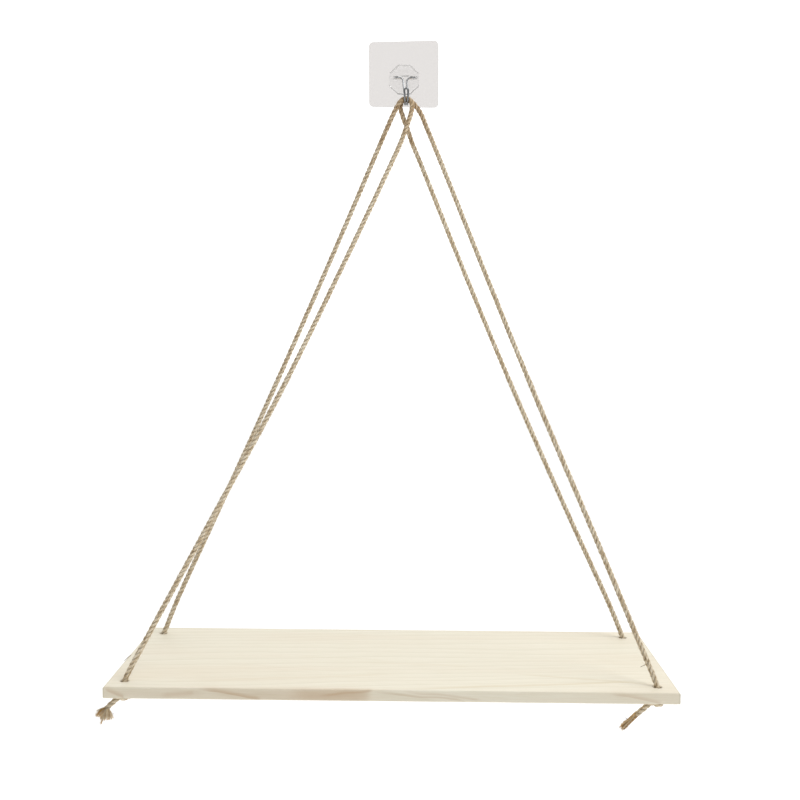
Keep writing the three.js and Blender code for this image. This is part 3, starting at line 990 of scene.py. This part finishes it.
# Drawn stainless wire, with a painted reflection: painted brighter in the boss and darker on the
# loop.
PAINTED_DARK_BELOW_Z = -0.0150
PAINTED_BRIGHT_ABOVE_Z = -0.0110
steel, tree, shader = new_material("stainless_steel_drawn_wire")
wire_place = add_node(
    tree,
    "ShaderNodeSeparateXYZ",
    links={"Vector": add_node(tree, "ShaderNodeTexCoord").outputs["Object"]},
)
# Painted reflection: the wire's colour is lighter up in the boss than down on the loop.
wire_colour_with_painted_reflection = add_node(
    tree,
    "ShaderNodeMix",
    {"data_type": "RGBA"},
    values={"A": linear("#7c7e80"), "B": linear("#c2c4c6")},
    links={"Factor": fade(wire_place.outputs["Z"], PAINTED_DARK_BELOW_Z, PAINTED_BRIGHT_ABOVE_Z)},
)
tree.links.new(wire_colour_with_painted_reflection.outputs["Result"], shader.inputs["Base Color"])
shader.inputs["Metallic"].default_value = 1.0
shader.inputs["Roughness"].default_value = 0.28

one_half = [(at["middle"] - at["side"], at["y"], at["z"]) for at in HOOK_HALF]
other_half = [(at["middle"] + at["side"], at["y"], at["z"]) for at in HOOK_HALF]
wire_path = path_along(smooth_line([*one_half, *reversed(other_half)]), WIRE_STEP)
wire_length = wire_path["along"][-1]


def wire_point(along, around):
    """A point on the straight wire. Its cut ends are rounded over."""
    height = along * wire_length
    from_end = min(height, wire_length - height, WIRE_END) / WIRE_END
    radius = WIRE_RADIUS * math.sqrt(1 - (1 - from_end) ** 2) if 0 < along < 1 else 0.0
    turn = math.tau * around
    return Vector((radius * math.cos(turn), radius * math.sin(turn), height))


bm = bmesh.new()
tube(bm, round(wire_length / WIRE_STEP), WIRE_SIDES, wire_point)
bmesh.ops.recalc_face_normals(bm, faces=bm.faces)
mesh = bpy.data.meshes.new("bent_wire_hook")
bm.to_mesh(mesh)
bm.free()
mesh.vertices.foreach_set("co", bent(coordinates(mesh), wire_path).ravel())
hook = keep(mesh, "bent_wire_hook", steel)
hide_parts("wire_hook")

# Floor: plain, white and a little lit from below, as a photographer's acrylic floor is, so that
# it has no edge against the backdrop.
FLOOR_Z = -1.3
FLOOR_SIZE = 13.0
FLOOR_BACK = 7.0
white_acrylic, tree, shader = new_material("white_acrylic_lit_from_below")
shader.inputs["Base Color"].default_value = linear("#f8f8f7")
shader.inputs["Roughness"].default_value = 0.9
shader.inputs["Emission Color"].default_value = linear("#ffffff")
shader.inputs["Emission Strength"].default_value = 0.3
bm = bmesh.new()
bmesh.ops.create_grid(bm, x_segments=1, y_segments=1, size=FLOOR_SIZE)
bmesh.ops.translate(bm, vec=(0, FLOOR_BACK, FLOOR_Z), verts=bm.verts)
mesh = bpy.data.meshes.new("floor")
bm.to_mesh(mesh)
bm.free()
mesh.materials.append(white_acrylic)
floor = bpy.data.objects.new("floor", mesh)
scene.collection.objects.link(floor)

# Light: a bright white backdrop beyond the shelf and a darker room in front of it, and one
# large soft lamp above the camera's right shoulder.
BACKDROP_LIGHT = 1.40
ROOM_LIGHT = 0.50
BACKDROP_FULL_AT = 0.75
TO_BACKDROP = Vector((0.12, 0.98, 0.10)).normalized()
world = bpy.data.worlds.new("white_studio")
scene.world = world
world.use_nodes = True
tree = world.node_tree
towards = add_node(
    tree,
    "ShaderNodeVectorMath",
    {"operation": "DOT_PRODUCT"},
    values={1: TO_BACKDROP},
    links={0: add_node(tree, "ShaderNodeTexCoord").outputs["Generated"]},
)
brightness = add_node(
    tree,
    "ShaderNodeMapRange",
    {"interpolation_type": "SMOOTHSTEP"},
    values={
        "From Min": 0.0,
        "From Max": BACKDROP_FULL_AT,
        "To Min": ROOM_LIGHT,
        "To Max": BACKDROP_LIGHT,
    },
    links={"Value": towards.outputs["Value"]},
)
background = tree.nodes["Background"]
background.inputs["Color"].default_value = linear("#ffffff")
tree.links.new(brightness.outputs["Result"], background.inputs["Strength"])
LAMP_PLACE = Vector((1.45, -0.75, 1.55))
LAMP_AIM = Vector((0.0, -0.06, -0.3))
LAMP_ACROSS = 2.0
LAMP_WATTS = 38
lamp = bpy.data.objects.new("soft_lamp", bpy.data.lights.new("soft_lamp", "AREA"))
scene.collection.objects.link(lamp)
lamp.data.shape = "DISK"
lamp.data.size = LAMP_ACROSS
lamp.data.energy = LAMP_WATTS
lamp.matrix_world = Matrix.Translation(LAMP_PLACE) @ (
    (LAMP_AIM - LAMP_PLACE).to_track_quat("-Z", "Y").to_matrix().to_4x4()
)
scene.view_settings.view_transform = "Standard"
